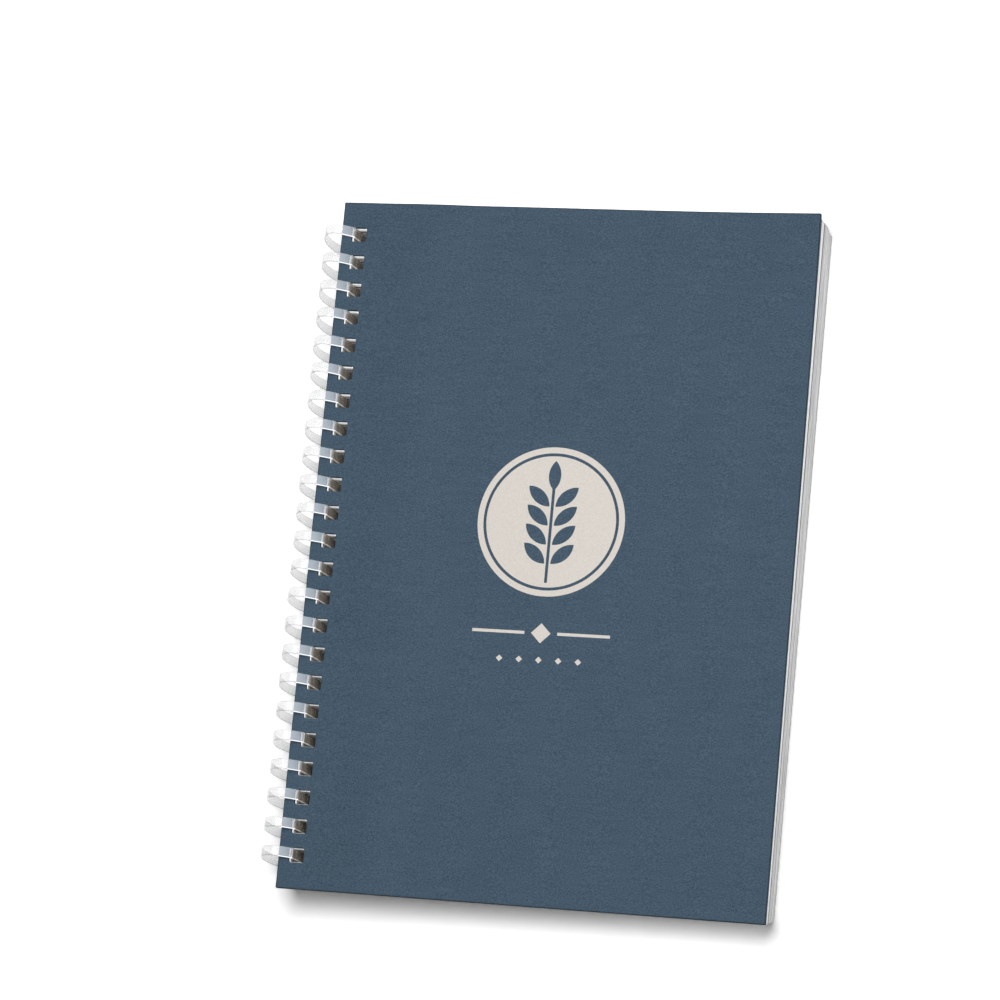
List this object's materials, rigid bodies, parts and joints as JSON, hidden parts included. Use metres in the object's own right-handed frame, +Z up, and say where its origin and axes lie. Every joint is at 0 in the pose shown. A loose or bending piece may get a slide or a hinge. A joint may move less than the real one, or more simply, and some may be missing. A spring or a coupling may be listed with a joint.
{
  "type": "ring bound notebook",
  "caption": "A5 notebook with a hard punched front cover, a block of sheets, a board back and clear flat plastic loops that bind them along the spine.",
  "frame": {"origin": "on the table, below the middle of the closed notebook lying on its back", "axes": "+X from the spine to the fore edge, +Y from the foot to the head, +Z up out of the front cover"},
  "size_m": [0.1554, 0.21, 0.0228],
  "materials": {
    "cover_board": "dark slate blue printed board with a fine paper grain, matte",
    "print_ink": "matte cream ink",
    "paper": "uncoated white sheets, cut edges",
    "back_board": "plain grey board, matte",
    "clear_band": "clear flexible plastic band, satin"
  },
  "bodies": {
    "pages": {"page_block": "paper", "loop_01": "clear_band", "loop_02": "clear_band", "loop_03": "clear_band", "loop_04": "clear_band", "loop_05": "clear_band", "loop_06": "clear_band", "loop_07": "clear_band", "loop_08": "clear_band", "loop_09": "clear_band", "loop_10": "clear_band", "loop_11": "clear_band", "loop_12": "clear_band", "loop_13": "clear_band", "loop_14": "clear_band", "loop_15": "clear_band", "loop_16": "clear_band", "loop_17": "clear_band", "loop_18": "clear_band", "loop_19": "clear_band", "loop_20": "clear_band", "loop_21": "clear_band", "loop_22": "clear_band", "loop_23": "clear_band"},
    "front_cover": {"front_cover": "cover_board", "cover_print": "print_ink"},
    "back_cover": {"back_cover": "back_board"}
  },
  "joints": [
    {"name": "front_cover_hinge", "type": "hinge", "parent": "pages", "child": "front_cover", "pos_m": [-0.07081, 0, 0.01568], "axis": [0, -1, 0], "range_deg": [0, 180]},
    {"name": "back_cover_hinge", "type": "hinge", "parent": "pages", "child": "back_cover", "pos_m": [-0.07101, 0, 0.00708], "axis": [0, 1, 0], "range_deg": [0, 180]}
  ]
}
